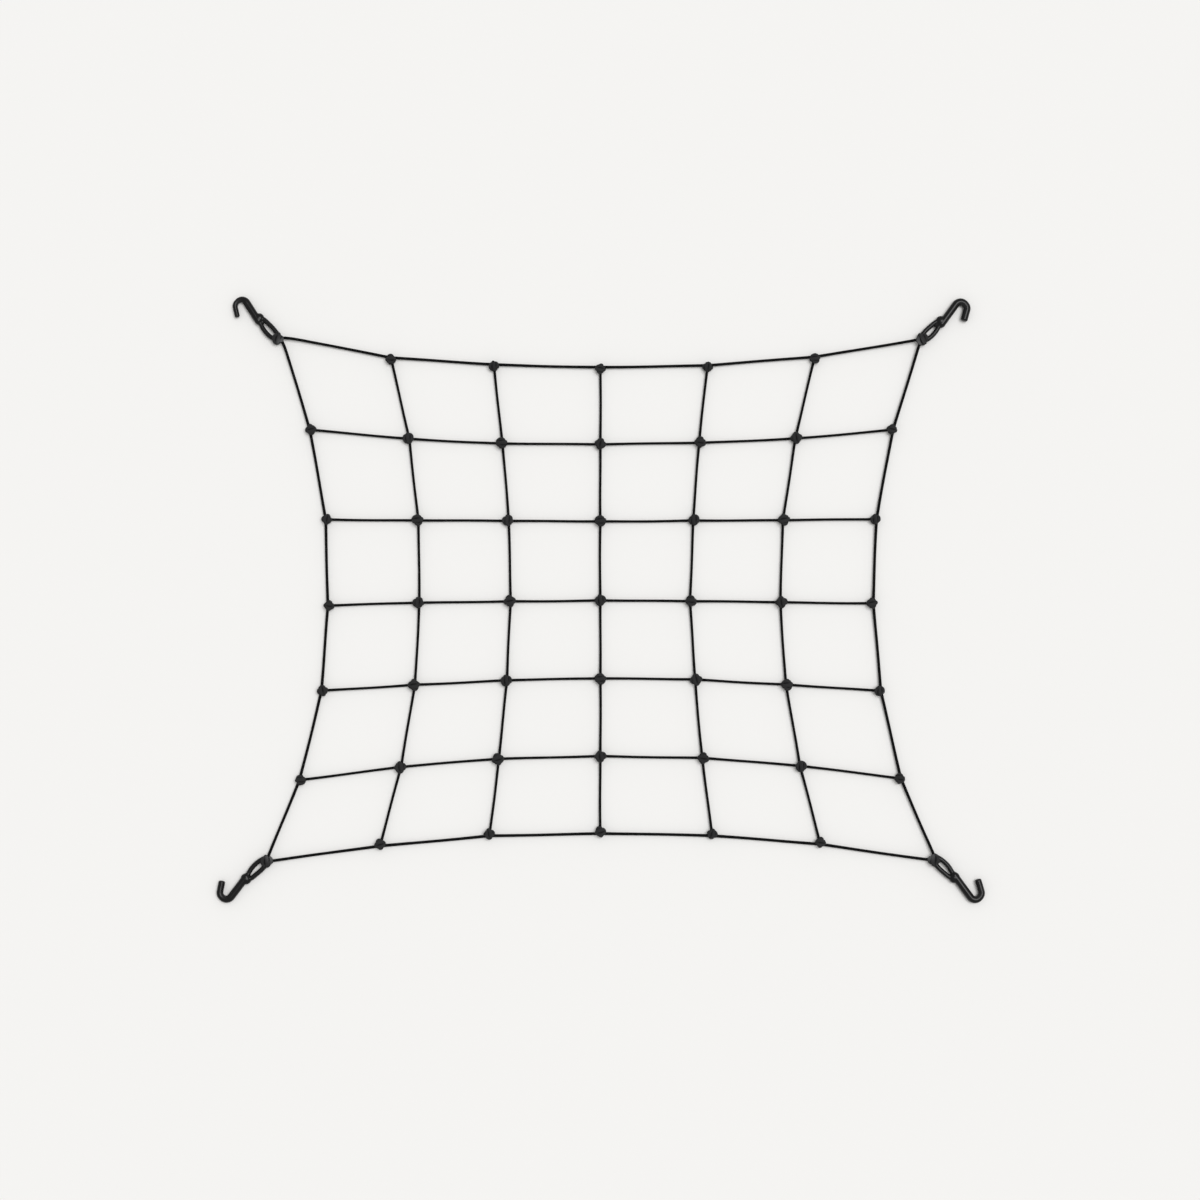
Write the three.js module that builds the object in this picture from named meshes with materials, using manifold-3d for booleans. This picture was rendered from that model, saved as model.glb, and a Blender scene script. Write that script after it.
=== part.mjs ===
// Plant trellis net: elastic cord tied into a grid of squares, stretched from four coated wire hooks.
// Millimetres, +Z up. The net lies flat with the underside of its middle knot on the origin.
// Row 0 is the far edge (+Y) and column 0 the left edge (-X).
import * as THREE from 'three';
import { mergeVertices } from 'three/addons/utils/BufferGeometryUtils.js';
import Module from 'manifold-3d';

// The grid
const SQUARES = 6;
const MIDDLE = SQUARES / 2;

// Cords: the four border cords are thicker than the ten inner ones
const BORDER_CORD = 3.2;
const INNER_CORD = 2.8;
const CORD_SIDES = 6;
const STEPS_PER_SPAN = 2;
const SPAN_SAG = 0.8;
const SPAN_WANDER = 0.4;
const WANDER_CHANGE = { perCord: 2.3, perSpan: 1.7, alongSpan: 2 };

// Knots: where the cords run beside a knot's middle, the border knots hang inside their cord
const KNOT_WIDTH = 11;
const BORDER_KNOT_WIDTH = 10.4;
const KNOT_LIFT = 3.6;
const KNOT_SIDES = 8;
const KNOT_RIDGE = 0.07;
const KNOT_FOOT = 0.6;
const KNOT_BAND = 0.38;
const KNOT_CROWN = new THREE.Vector2(0.62, 0.9);
const BORDER_PULL = { top: 1.8, bottom: 1.8, left: 1.2, right: 1.4 };
const COLUMN_PULL = 0.9;
const ROW_PULL = 0.4;
const CORNER_KNOT_WIDTH = 12;
const CORNER_KNOT_HEIGHT = 10.6;
const CORNER_KNOT_LIFT = 4.7;

// Hooks: a closed eye of thin wire, a thick coated shank, then a J
const HOOK_SIDES = 8;
const EYE_WIRE = 4.7;
const EYE_CLEARANCE = 0.35;
const EYE_END = 26;
const EYE_NEAR_END = 2.3;
const EYE_TURN_RADIUS = 3.15;
const EYE_OFFSET = 1.25;
const EYE_BOW = { inner: 0.55, outer: 1.65 };
const EYE_TUCK = { inner: 1.6, outer: 0.8 };
const EYE_TURN_STEPS = 5;
const EYE_BOW_STEPS = 3;
const EYE_LEAN = THREE.MathUtils.degToRad(5);
const COLLAR_SIZE = new THREE.Vector3(10.4, 11.2, 7.6);
const COLLAR_PLACE = new THREE.Vector2(26.2, -0.9);
const WEB_WIDTH = 7;
const WEB_THICKNESS = 4.2;
const WEB_PLACE = new THREE.Vector2(24, -0.5);
const COATING_RINGS = 4;
const SHANK_START = 24;
const SHANK_WIDTH = 7.6;
const SHANK_NOSE = { length: 2.5, width: 5 };
const SHANK_LEAN = THREE.MathUtils.degToRad(14.5);
const BEND_RADIUS = 5.8;
const BEND_CHORDS = 7;
const SADDLE_CHORD = 4;
const SADDLE_EXTRA = 1;
const WIRE_OVERLAP = 0.6;
const TIP_LENGTH = 0.9;
const TIP_SHARE = 0.77;
const FLAT_PATCH_DEPTH = 0.15;
const GROUND_SIZE = 2000;

// The shape of each row of knots: half its width, the height of its middle, how far its ends rise above
// that middle, and how late along the row the rise comes
const ROWS = [
  { halfWidth: 324.3, middle: 234.1, rise: 30.1, power: 2.6 },
  { halfWidth: 292.0, middle: 157.7, rise: 14.8, power: 2.27 },
  { halfWidth: 274.6, middle: 79.8, rise: 1.6, power: 1.15 },
  { halfWidth: 271.1, middle: 0, rise: -2.9, power: 1.1 },
  { halfWidth: 276.4, middle: -78.4, rise: -11.2, power: 1.62 },
  { halfWidth: 296.6, middle: -155.4, rise: -21.9, power: 1.98 },
  { halfWidth: 329.5, middle: -229.7, rise: -27.7, power: 2.31 },
];

// Knots tied by hand off that even pattern
const SLIPS = [
  { row: 0, column: 0, across: -1.0, along: 0.5 },
  { row: 0, column: 1, across: 5.0, along: -0.8 },
  { row: 0, column: 2, across: 0.9, along: 1.0 },
  { row: 1, column: 0, across: 1.1, along: -0.3 },
  { row: 1, column: 1, across: 1.9, along: -0.2 },
  { row: 1, column: 2, across: -1.9, along: -0.3 },
  { row: 1, column: 4, across: 2.9, along: 0.4 },
  { row: 1, column: 5, across: 2.1, along: 0.2 },
  { row: 1, column: 6, across: 0.9, along: -0.2 },
  { row: 2, column: 0, across: 0.8, along: 0 },
  { row: 2, column: 2, across: -1.1, along: 0 },
  { row: 2, column: 4, across: 2.4, along: 0.5 },
  { row: 2, column: 5, across: 0.7, along: 0.2 },
  { row: 2, column: 6, across: 0.7, along: 0.1 },
  { row: 3, column: 0, across: 0.4, along: -2.4 },
  { row: 3, column: 1, across: -0.9, along: -0.5 },
  { row: 4, column: 0, across: 0.2, along: -0.5 },
  { row: 4, column: 1, across: -1.1, along: -0.4 },
  { row: 4, column: 2, across: -1.6, along: 0.1 },
  { row: 4, column: 4, across: 3.1, along: 1.0 },
  { row: 4, column: 5, across: 1.4, along: -0.2 },
  { row: 4, column: 6, across: 1.2, along: -0.8 },
  { row: 5, column: 0, across: -0.5, along: -1.5 },
  { row: 5, column: 1, across: -0.7, along: -1.0 },
  { row: 5, column: 2, across: -2.7, along: -0.3 },
  { row: 5, column: 4, across: 3.2, along: 0.7 },
  { row: 5, column: 5, across: 1.2, along: 0 },
  { row: 6, column: 0, across: 0, along: -1.3 },
  { row: 6, column: 1, across: 1.9, along: -1.4 },
  { row: 6, column: 4, across: 0.8, along: 0 },
  { row: 6, column: 5, across: -2.1, along: 0.4 },
];

// The four corners. First where the border cords meet, from the corner knot's middle. Then the hook: the
// angle above or below the X axis at which it is drawn out, how far it has slid out in its knot, how far its
// eye is set towards the arm's side, how far along it the centre of its bend lies, the degrees through which
// it bends, the length and width of its arm, and how far coating has run down the slit of its eye.
const CORNERS = [
  {
    row: 0, column: 0, meetX: 3.8, meetY: 2.5, angle: 42.9, slide: 2.2,
    eyeShift: -1.2, reach: 48.5, turn: 161, arm: 9.6, armWidth: 5.3, web: 5.3,
  },
  {
    row: 0, column: SQUARES, meetX: -1.2, meetY: 0.1, angle: 39.5, slide: 0.7,
    eyeShift: -1, reach: 50.5, turn: 160, arm: 10.9, armWidth: 7.4, web: 6.5,
  },
  {
    row: SQUARES, column: 0, meetX: -0.7, meetY: -0.6, angle: 38.6, slide: 0.5,
    eyeShift: 0, reach: 50, turn: 154, arm: 9.8, armWidth: 6.7, web: 2.9,
  },
  {
    row: SQUARES, column: SQUARES, meetX: 2.8, meetY: -0.9, angle: 39.5, slide: 0.4,
    eyeShift: 0.2, reach: 51.8, turn: 160, arm: 11.6, armWidth: 6.7, web: 2.9,
  },
];

const UP = new THREE.Vector3(0, 0, 1);
const wasm = await Module();
wasm.setup();

const cordMaterial = new THREE.MeshStandardMaterial({ color: 0x17171a, roughness: 0.85, metalness: 0 });
const coatingMaterial = new THREE.MeshStandardMaterial({ color: 0x232427, roughness: 0.45, metalness: 0 });

// A geometry as a solid: only its places count, and shared corners are merged
function solidOf(geometry) {
  const bare = geometry.clone();
  bare.deleteAttribute('normal');
  bare.deleteAttribute('uv');
  const merged = mergeVertices(bare, 1e-4);
  return new wasm.Manifold(new wasm.Mesh({
    numProp: 3,
    vertProperties: merged.attributes.position.array,
    triVerts: new Uint32Array(merged.index.array),
  }));
}

function geometryOf(solid) {
  const mesh = solid.getMesh();
  const geometry = new THREE.BufferGeometry();
  geometry.setAttribute('position', new THREE.BufferAttribute(new Float32Array(mesh.vertProperties), 3));
  geometry.setIndex(new THREE.BufferAttribute(new Uint32Array(mesh.triVerts), 1));
  geometry.computeVertexNormals();
  return geometry;
}

function joined(solids) {
  return solids.reduce((whole, solid) => whole.add(solid));
}

// A route whose steps fall on its own parameter, so that each kink at a knot is kept
class Route extends THREE.Curve {
  constructor(points) {
    super();
    this.points = points;
  }

  getUtoTmapping(u) {
    return u;
  }

  getPoint(t, target = new THREE.Vector3()) {
    const last = this.points.length - 1;
    const place = Math.min(Math.max(t, 0), 1) * last;
    const start = Math.min(Math.floor(place), last - 1);
    return target.lerpVectors(this.points[start], this.points[start + 1], place - start);
  }
}

// A round section with one flat facing each way
function roundSection(width, sides) {
  const corners = [];
  for (let i = 0; i < sides; i += 1) {
    const angle = (2 * Math.PI * (i + 0.5)) / sides;
    corners.push(new THREE.Vector2((width / 2) * Math.cos(angle), (width / 2) * Math.sin(angle)));
  }
  return new THREE.Shape(corners);
}

function tube(points, width, sides) {
  return new THREE.ExtrudeGeometry(roundSection(width, sides), {
    steps: points.length - 1,
    extrudePath: new Route(points),
  });
}

// The middle of one knot, seen from above
function knotPlace(row, column) {
  const { halfWidth, middle, rise, power } = ROWS[row];
  const share = (column - MIDDLE) / MIDDLE;
  const slip = SLIPS.find((knot) => knot.row === row && knot.column === column);
  const even = new THREE.Vector2(halfWidth * share, middle + rise * Math.abs(share) ** power);
  return slip ? even.add(new THREE.Vector2(slip.across, slip.along)) : even;
}

function cornerAt(row, column) {
  return CORNERS.find((corner) => corner.row === row && corner.column === column);
}

// Which side of the middle a row or column lies on
function outwards(index) {
  return Math.sign(index - MIDDLE);
}

function onBorder(index) {
  return index % SQUARES === 0;
}

// How far a column's or row's cord passes beside a knot's middle: outside it on the border, and nearer the
// middle of the net within, except where it ends on the border
function columnPull(row, column) {
  if (onBorder(column)) return column === 0 ? -BORDER_PULL.left : BORDER_PULL.right;
  return onBorder(row) ? 0 : -outwards(column) * COLUMN_PULL;
}

function rowPull(row, column) {
  if (onBorder(row)) return row === 0 ? BORDER_PULL.top : -BORDER_PULL.bottom;
  return onBorder(column) ? 0 : outwards(row) * ROW_PULL;
}

// Where two cords cross inside a knot
function crossing(row, column) {
  const knot = knotPlace(row, column);
  const corner = cornerAt(row, column);
  if (corner) {
    return new THREE.Vector3(knot.x + corner.meetX, knot.y + corner.meetY, CORNER_KNOT_LIFT);
  }
  return new THREE.Vector3(knot.x + columnPull(row, column), knot.y + rowPull(row, column), KNOT_LIFT);
}

// One cord from border to border: straight from knot to knot, but for a little sag and sideways wander
function cordPoints(crossings, number) {
  const points = [crossings[0]];
  for (let span = 0; span < SQUARES; span += 1) {
    const from = crossings[span];
    const to = crossings[span + 1];
    const sideways = new THREE.Vector3(from.y - to.y, to.x - from.x, 0).normalize();
    for (let step = 1; step < STEPS_PER_SPAN; step += 1) {
      const share = step / STEPS_PER_SPAN;
      const phase = WANDER_CHANGE.perCord * number + WANDER_CHANGE.perSpan * span
        + WANDER_CHANGE.alongSpan * share;
      const point = new THREE.Vector3().lerpVectors(from, to, share);
      point.addScaledVector(sideways, SPAN_WANDER * Math.sin(phase));
      point.z -= SPAN_SAG * Math.sin(Math.PI * share);
      points.push(point);
    }
    points.push(to);
  }
  return points;
}

function cord(number, crossings) {
  const width = onBorder(number) ? BORDER_CORD : INNER_CORD;
  return solidOf(tube(cordPoints(crossings, number), width, CORD_SIDES));
}

// A knot: a barrel with the two slanting ridges of its outer turns, on a flat underside. Each of its flat
// sides is wide enough to take a cord.
function knotBall(row, column) {
  const corner = cornerAt(row, column);
  const tied = onBorder(row) || onBorder(column) ? BORDER_KNOT_WIDTH : KNOT_WIDTH;
  const radius = (corner ? CORNER_KNOT_WIDTH : tied) / 2;
  const lift = corner ? CORNER_KNOT_LIFT : KNOT_LIFT;
  const top = corner ? CORNER_KNOT_HEIGHT / 2 : tied / 2;
  const profile = [
    new THREE.Vector2(0, -lift),
    new THREE.Vector2(KNOT_FOOT * radius, -lift),
    new THREE.Vector2(radius, -KNOT_BAND * radius),
    new THREE.Vector2(radius, KNOT_BAND * radius),
    new THREE.Vector2(KNOT_CROWN.x * radius, KNOT_CROWN.y * top),
    new THREE.Vector2(0, top),
  ];
  const ball = new THREE.LatheGeometry(profile, KNOT_SIDES)
    .rotateX(Math.PI / 2)
    .rotateZ(Math.PI / KNOT_SIDES);
  const places = ball.attributes.position;
  const lean = (row + column) % 2 === 0 ? 1 : -1;
  for (let i = 0; i < places.count; i += 1) {
    const around = Math.atan2(places.getY(i), places.getX(i));
    const ridge = 1 + KNOT_RIDGE * Math.cos(2 * around + lean * Math.PI * places.getZ(i) / radius);
    places.setXY(i, places.getX(i) * ridge, places.getY(i) * ridge);
  }
  const knot = knotPlace(row, column);
  return solidOf(ball.translate(knot.x, knot.y, lift));
}

// One side of a hook's eye between its turn and the joint, bowed outwards
function eyeSide(turnCentre, straightEnd, level, bow) {
  const points = [];
  for (let i = 0; i <= EYE_BOW_STEPS; i += 1) {
    const share = i / EYE_BOW_STEPS;
    const out = THREE.MathUtils.lerp(turnCentre, straightEnd, share);
    points.push(new THREE.Vector3(out, level + bow * Math.sin(Math.PI * share), 0));
  }
  return points;
}

// The middle line of a hook's eye, lying along X: out of the joint, round inside the corner knot, and back
function eyePoints(eyeShift) {
  const axis = EYE_OFFSET + eyeShift;
  const innerSide = axis - EYE_TURN_RADIUS;
  const outerSide = axis + EYE_TURN_RADIUS;
  const turnCentre = EYE_TURN_RADIUS - EYE_NEAR_END;
  const straightEnd = EYE_END - EYE_TURN_RADIUS;
  const points = [
    new THREE.Vector3(EYE_END, innerSide + EYE_TUCK.inner, 0),
    ...eyeSide(turnCentre, straightEnd, innerSide, -EYE_BOW.inner).reverse(),
  ];
  for (let i = 1; i < EYE_TURN_STEPS; i += 1) {
    const angle = -Math.PI * (0.5 + i / EYE_TURN_STEPS);
    const out = turnCentre + EYE_TURN_RADIUS * Math.cos(angle);
    points.push(new THREE.Vector3(out, axis + EYE_TURN_RADIUS * Math.sin(angle), 0));
  }
  points.push(
    ...eyeSide(turnCentre, straightEnd, outerSide, EYE_BOW.outer),
    new THREE.Vector3(EYE_END, outerSide - EYE_TUCK.outer, 0),
  );
  return points.map((point) => point.applyAxisAngle(UP, -EYE_LEAN));
}

// The middle line of a hook's thick wire, with the wire's width at each point: the shank, the bend in short
// chords, the arm and the rounded tip. Round the bend the wire thins to the arm's width. One chord is longer:
// it is the saddle that bears on a pole or bar.
function wireStations({ reach, turn, arm, armWidth }) {
  const heading = new THREE.Vector3(1, 0, 0).applyAxisAngle(UP, -SHANK_LEAN);
  const towardsCentre = heading.clone().applyAxisAngle(UP, Math.PI / 2);
  const place = new THREE.Vector3(reach, 0, 0).addScaledVector(towardsCentre, -BEND_RADIUS);
  const shankLength = (place.x - SHANK_START) / heading.x;
  const noseStart = place.clone().addScaledVector(heading, -shankLength - SHANK_NOSE.length);
  const stations = [
    { place: noseStart, width: SHANK_NOSE.width },
    { place: place.clone().addScaledVector(heading, -shankLength), width: SHANK_WIDTH },
    { place: place.clone(), width: SHANK_WIDTH },
  ];
  const chordTurn = THREE.MathUtils.degToRad(turn) / BEND_CHORDS;
  const chord = 2 * BEND_RADIUS * Math.sin(chordTurn / 2);
  for (let i = 0; i < BEND_CHORDS; i += 1) {
    const direction = heading.clone().applyAxisAngle(UP, chordTurn * (i + 0.5));
    place.addScaledVector(direction, i === SADDLE_CHORD ? chord + SADDLE_EXTRA : chord);
    const thinned = Math.min((i + 1) / SADDLE_CHORD, 1);
    stations.push({ place: place.clone(), width: THREE.MathUtils.lerp(SHANK_WIDTH, armWidth, thinned) });
  }
  const armHeading = heading.clone().applyAxisAngle(UP, chordTurn * BEND_CHORDS);
  const armEnd = place.clone().addScaledVector(armHeading, arm);
  const tipEnd = armEnd.clone().addScaledVector(armHeading, TIP_LENGTH);
  stations.push({ place: armEnd, width: armWidth }, { place: tipEnd, width: armWidth * TIP_SHARE });
  return stations;
}

// The corners round one station of a wire, in the plane that halves its turn there
function ringCorners(stations, number) {
  const headingFrom = (i) => stations[i + 1].place.clone().sub(stations[i].place).normalize();
  const arriving = headingFrom(Math.max(number - 1, 0));
  const heading = headingFrom(Math.min(number, stations.length - 2)).add(arriving);
  const spread = 2 / heading.length();
  const sideways = new THREE.Vector3().crossVectors(UP, heading.normalize()).multiplyScalar(spread);
  const { place, width } = stations[number];
  return Array.from({ length: HOOK_SIDES }, (unused, i) => {
    const angle = (2 * Math.PI * (i + 0.5)) / HOOK_SIDES;
    const corner = place.clone().addScaledVector(sideways, (width / 2) * Math.cos(angle));
    return corner.addScaledVector(UP, (width / 2) * Math.sin(angle));
  });
}

// A wire whose width changes from station to station, placed by a matrix. Each length reaches a point's width
// into the next, so that the two melt together.
function wireSolid(stations, placement) {
  const rings = stations.map((unused, number) => ringCorners(stations, number));
  const lengths = rings.slice(1).map((ring, number) => {
    const start = stations[number].place;
    const end = stations[number + 1].place;
    const reach = number < stations.length - 2 ? WIRE_OVERLAP : 0;
    const point = end.clone().addScaledVector(end.clone().sub(start).normalize(), reach);
    const corners = [...rings[number], ...ring, point];
    return corners.map((corner) => corner.clone().applyMatrix4(placement).toArray());
  });
  return joined(lengths.map((corners) => wasm.Manifold.hull(corners)));
}

// Where a hook goes: its eye in the corner knot, drawn outwards, and tipped down until the end of its shank
// lies on the surface. The arm's side is turned over on two of the four.
function hookPlacement({ row, column, angle, slide, reach }) {
  const knot = knotPlace(row, column);
  const outX = outwards(column) * Math.cos(THREE.MathUtils.degToRad(angle));
  const outY = -outwards(row) * Math.sin(THREE.MathUtils.degToRad(angle));
  const drop = CORNER_KNOT_LIFT + FLAT_PATCH_DEPTH - (SHANK_WIDTH / 2) * Math.cos(Math.PI / HOOK_SIDES);
  return new THREE.Matrix4()
    .makeTranslation(knot.x + slide * outX, knot.y + slide * outY, CORNER_KNOT_LIFT)
    .multiply(new THREE.Matrix4().makeRotationZ(Math.atan2(outY, outX)))
    .multiply(new THREE.Matrix4().makeRotationY(Math.asin(drop / reach)));
}

function armSide({ row, column }) {
  return outwards(row) * outwards(column);
}

function eye(hook, width) {
  const points = eyePoints(hook.eyeShift);
  points.forEach((point) => point.setY(point.y * armSide(hook)));
  return solidOf(tube(points, width, HOOK_SIDES).applyMatrix4(hookPlacement(hook)));
}

// A soft lump of coating in the hook's plane
function lump(hook, size, at) {
  const geometry = new THREE.SphereGeometry(0.5, HOOK_SIDES, COATING_RINGS)
    .scale(size.x, size.y, size.z)
    .translate(at.x, (at.y + hook.eyeShift) * armSide(hook), 0);
  return solidOf(geometry.applyMatrix4(hookPlacement(hook)));
}

// Everything below the surface that the net lies on
function ground() {
  const block = new THREE.BoxGeometry(GROUND_SIZE, GROUND_SIZE, GROUND_SIZE);
  return solidOf(block.translate(0, 0, -GROUND_SIZE / 2));
}

// The coating thickens where the end of the wire is closed onto the shank, and runs a little down the slit
function hookSolid(hook) {
  const stations = wireStations(hook);
  stations.forEach(({ place }) => place.setY(place.y * armSide(hook)));
  const collar = lump(hook, COLLAR_SIZE, COLLAR_PLACE);
  const web = lump(hook, new THREE.Vector3(2 * hook.web, WEB_WIDTH, WEB_THICKNESS), WEB_PLACE);
  const wire = wireSolid(stations, hookPlacement(hook));
  return joined([eye(hook, EYE_WIRE), wire, collar, web]).subtract(ground());
}

function netSolid() {
  const numbers = Array.from({ length: SQUARES + 1 }, (unused, number) => number);
  const across = numbers.map((row) => cord(row, numbers.map((column) => crossing(row, column))));
  const along = numbers.map((column) => cord(column, numbers.map((row) => crossing(row, column))));
  const knots = numbers.flatMap((row) => numbers.map((column) => knotBall(row, column)));
  const tied = joined([...across, ...along, ...knots]);
  return CORNERS.reduce((net, hook) => net.subtract(eye(hook, EYE_WIRE + 2 * EYE_CLEARANCE)), tied);
}

function hookName({ row, column }) {
  return `hook_${row === 0 ? 'top' : 'bottom'}_${column === 0 ? 'left' : 'right'}`;
}

function named(name, solid, material) {
  const mesh = new THREE.Mesh(geometryOf(solid), material);
  mesh.name = name;
  return mesh;
}

const trellisNet = new THREE.Group();
trellisNet.add(named('net', netSolid(), cordMaterial));
CORNERS.forEach((hook) => trellisNet.add(named(hookName(hook), hookSolid(hook), coatingMaterial)));

export default trellisNet;
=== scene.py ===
# %% [markdown]
# # A plant trellis net of black elastic cord
#
# The net is shock cord tied into a grid of squares, drawn out flat by a coated wire hook in each corner. It
# lies on a pale surface with the camera above it. The solids give the sizes and places. This script gives the
# looks: braided cord that thins where it is stretched, knots with their turns laid one by one, and smooth
# hooks dipped in black plastic.
#
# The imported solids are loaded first, and their box is kept, so that the finished pieces can be measured
# against it at the end.

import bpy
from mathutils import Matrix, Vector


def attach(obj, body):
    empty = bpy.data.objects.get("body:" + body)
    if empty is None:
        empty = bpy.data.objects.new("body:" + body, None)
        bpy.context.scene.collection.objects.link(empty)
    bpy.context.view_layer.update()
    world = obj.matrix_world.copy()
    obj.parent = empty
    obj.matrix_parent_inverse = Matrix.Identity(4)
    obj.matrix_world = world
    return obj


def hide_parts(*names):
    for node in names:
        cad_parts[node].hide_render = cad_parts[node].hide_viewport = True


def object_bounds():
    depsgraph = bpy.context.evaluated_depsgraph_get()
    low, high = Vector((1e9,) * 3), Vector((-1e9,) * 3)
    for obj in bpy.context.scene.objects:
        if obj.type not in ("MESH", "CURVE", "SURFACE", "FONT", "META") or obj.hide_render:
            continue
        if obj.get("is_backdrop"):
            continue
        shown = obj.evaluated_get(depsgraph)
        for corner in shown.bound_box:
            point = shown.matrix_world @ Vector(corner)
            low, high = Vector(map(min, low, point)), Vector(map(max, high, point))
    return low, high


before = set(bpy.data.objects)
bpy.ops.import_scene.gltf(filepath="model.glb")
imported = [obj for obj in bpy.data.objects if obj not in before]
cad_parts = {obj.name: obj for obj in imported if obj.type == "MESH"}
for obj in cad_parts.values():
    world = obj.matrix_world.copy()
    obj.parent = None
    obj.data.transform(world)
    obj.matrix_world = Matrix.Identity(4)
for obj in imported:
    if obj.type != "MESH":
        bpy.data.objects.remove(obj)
solid_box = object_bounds()
print("solids:", sorted(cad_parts))

import math

import bmesh
import bpy
from mathutils import Matrix, Vector, noise

MM = 0.001

# %% [markdown]
# ## The camera
#
# The net is seen from above, from slightly in front. A camera 2.2 m away with a 66 mm lens puts 1 mm of the
# net on 1 pixel of a picture 1200 pixels wide, and its rows of knots then close up towards the far edge by
# the right amount. The camera is aimed with a track quaternion, which turns its own -Z axis along a
# direction.

# %% Camera
CAMERA_DISTANCE = 2.2
CAMERA_TILT = math.radians(5)
CAMERA_AIM = Vector((-0.35, 0.7, 0)) * MM

toward_camera = Vector((0, -math.sin(CAMERA_TILT), math.cos(CAMERA_TILT)))
camera_data = bpy.data.cameras.new("camera")
camera_data.lens = 66
camera_data.sensor_width = 36
camera = bpy.data.objects.new("camera", camera_data)
camera.location = CAMERA_AIM + toward_camera * CAMERA_DISTANCE
camera.rotation_mode = "QUATERNION"
camera.rotation_quaternion = (-toward_camera).to_track_quat("-Z", "Y")
bpy.context.scene.collection.objects.link(camera)
bpy.context.scene.camera = camera
print("camera stands at", [round(value, 3) for value in camera.location])

# %% [markdown]
# ## Helpers for materials
#
# A material is a graph of small nodes. A few helpers keep the graphs short enough to read. One adds a node
# and sets its inputs, plugging in another node's output wherever it is given one. The others do arithmetic,
# spread a value over a range, and turn a value into a colour between two tones.

# %% Node helpers
def new_material(name):
    material = bpy.data.materials.new(name)
    material.use_nodes = True
    nodes = material.node_tree.nodes
    return material, material.node_tree, nodes["Principled BSDF"]


def add_node(tree, kind, settings=None, **inputs):
    node = tree.nodes.new(kind)
    for name, value in (settings or {}).items():
        setattr(node, name, value)
    for name, value in inputs.items():
        plug(tree, node, name.replace("_", " "), value)
    return node


def plug(tree, node, socket, value):
    if isinstance(value, bpy.types.NodeSocket):
        tree.links.new(value, node.inputs[socket])
    else:
        node.inputs[socket].default_value = value


def calculate(tree, operation, first, second=0.0):
    node = tree.nodes.new("ShaderNodeMath")
    node.operation = operation
    plug(tree, node, 0, first)
    plug(tree, node, 1, second)
    return node.outputs[0]


def spread(tree, value, low, high):
    """A value from 0 to 1, spread from low to high."""
    node = add_node(tree, "ShaderNodeMapRange", Value=value, To_Min=low, To_Max=high)
    return node.outputs[0]


def two_tones(tree, value, dark, pale):
    """A colour that goes from dark to pale as a value goes from 0 to 1."""
    ramp = add_node(tree, "ShaderNodeValToRGB", Fac=value)
    ramp.color_ramp.elements[0].color = (*dark, 1)
    ramp.color_ramp.elements[1].color = (*pale, 1)
    return ramp.outputs["Color"]


# %% [markdown]
# ## The surface and the light
#
# The real net was laid on white and lit evenly. The floor is one disc, wide enough to reach past every view.
# The light comes from a pale sky and a sun as wide as a softbox: both are endlessly far away, so the floor is
# as bright at its edges as in the middle, and a cord throws only a faint, soft shadow beside itself.

# %% Floor and light
FLOOR_RADIUS = 9
FLOOR_SIDES = 96
FLOOR_TONE = 0.86
FLOOR_TINTS = [(1, 0.993, 0.978), (0.996, 0.989, 0.974)]
SKY_TINT = (1, 0.997, 0.99, 1)
SKY_BRIGHTNESS = 0.55
SUN_STRENGTH = 1.69
SUN_WIDTH = math.radians(34)
SUN_TURN = (math.radians(-6), math.radians(16), 0)

floor_mesh = bpy.data.meshes.new("floor")
floor_shape = bmesh.new()
bmesh.ops.create_circle(floor_shape, cap_ends=True, segments=FLOOR_SIDES, radius=FLOOR_RADIUS)
floor_shape.to_mesh(floor_mesh)
floor_shape.free()
floor = bpy.data.objects.new("floor", floor_mesh)
bpy.context.scene.collection.objects.link(floor)
floor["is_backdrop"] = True

floor_material, floor_tree, floor_shader = new_material("pale_floor")
floor_place = add_node(floor_tree, "ShaderNodeTexCoord").outputs["Object"]
floor_mottle = add_node(floor_tree, "ShaderNodeTexNoise", Vector=floor_place, Scale=3.0, Detail=2.0)
floor_tint = add_node(
    floor_tree, "ShaderNodeMix", {"data_type": "RGBA"}, Factor=floor_mottle.outputs["Fac"],
)
for socket, tint in zip(floor_tint.inputs[6:8], FLOOR_TINTS):
    socket.default_value = (*(FLOOR_TONE * part for part in tint), 1)
plug(floor_tree, floor_shader, "Base Color", floor_tint.outputs[2])
floor_shader.inputs["Roughness"].default_value = 0.9
floor_shader.inputs["Specular IOR Level"].default_value = 0.1
floor_mesh.materials.append(floor_material)

sky = bpy.data.worlds.new("sky")
sky.use_nodes = True
sky.node_tree.nodes["Background"].inputs["Color"].default_value = SKY_TINT
sky.node_tree.nodes["Background"].inputs["Strength"].default_value = SKY_BRIGHTNESS
bpy.context.scene.world = sky

sun_data = bpy.data.lights.new("sun", "SUN")
sun_data.energy = SUN_STRENGTH
sun_data.angle = SUN_WIDTH
sun = bpy.data.objects.new("sun", sun_data)
sun.rotation_euler = SUN_TURN
bpy.context.scene.collection.objects.link(sun)
bpy.context.scene.view_settings.view_transform = "Standard"
print("floor", 2 * FLOOR_RADIUS, "m wide, sun", round(math.degrees(SUN_WIDTH)), "degrees wide")

# %% [markdown]
# ## Where the knots are
#
# Stretched by its corners, a net bows in on all four sides. Each row of knots is a shallow curve: the further
# along the row, the further its knots lie from the row's middle. Four numbers give that curve for each row.
# Nobody ties such knots evenly, so a second table moves some of them by a millimetre or more.

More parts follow.
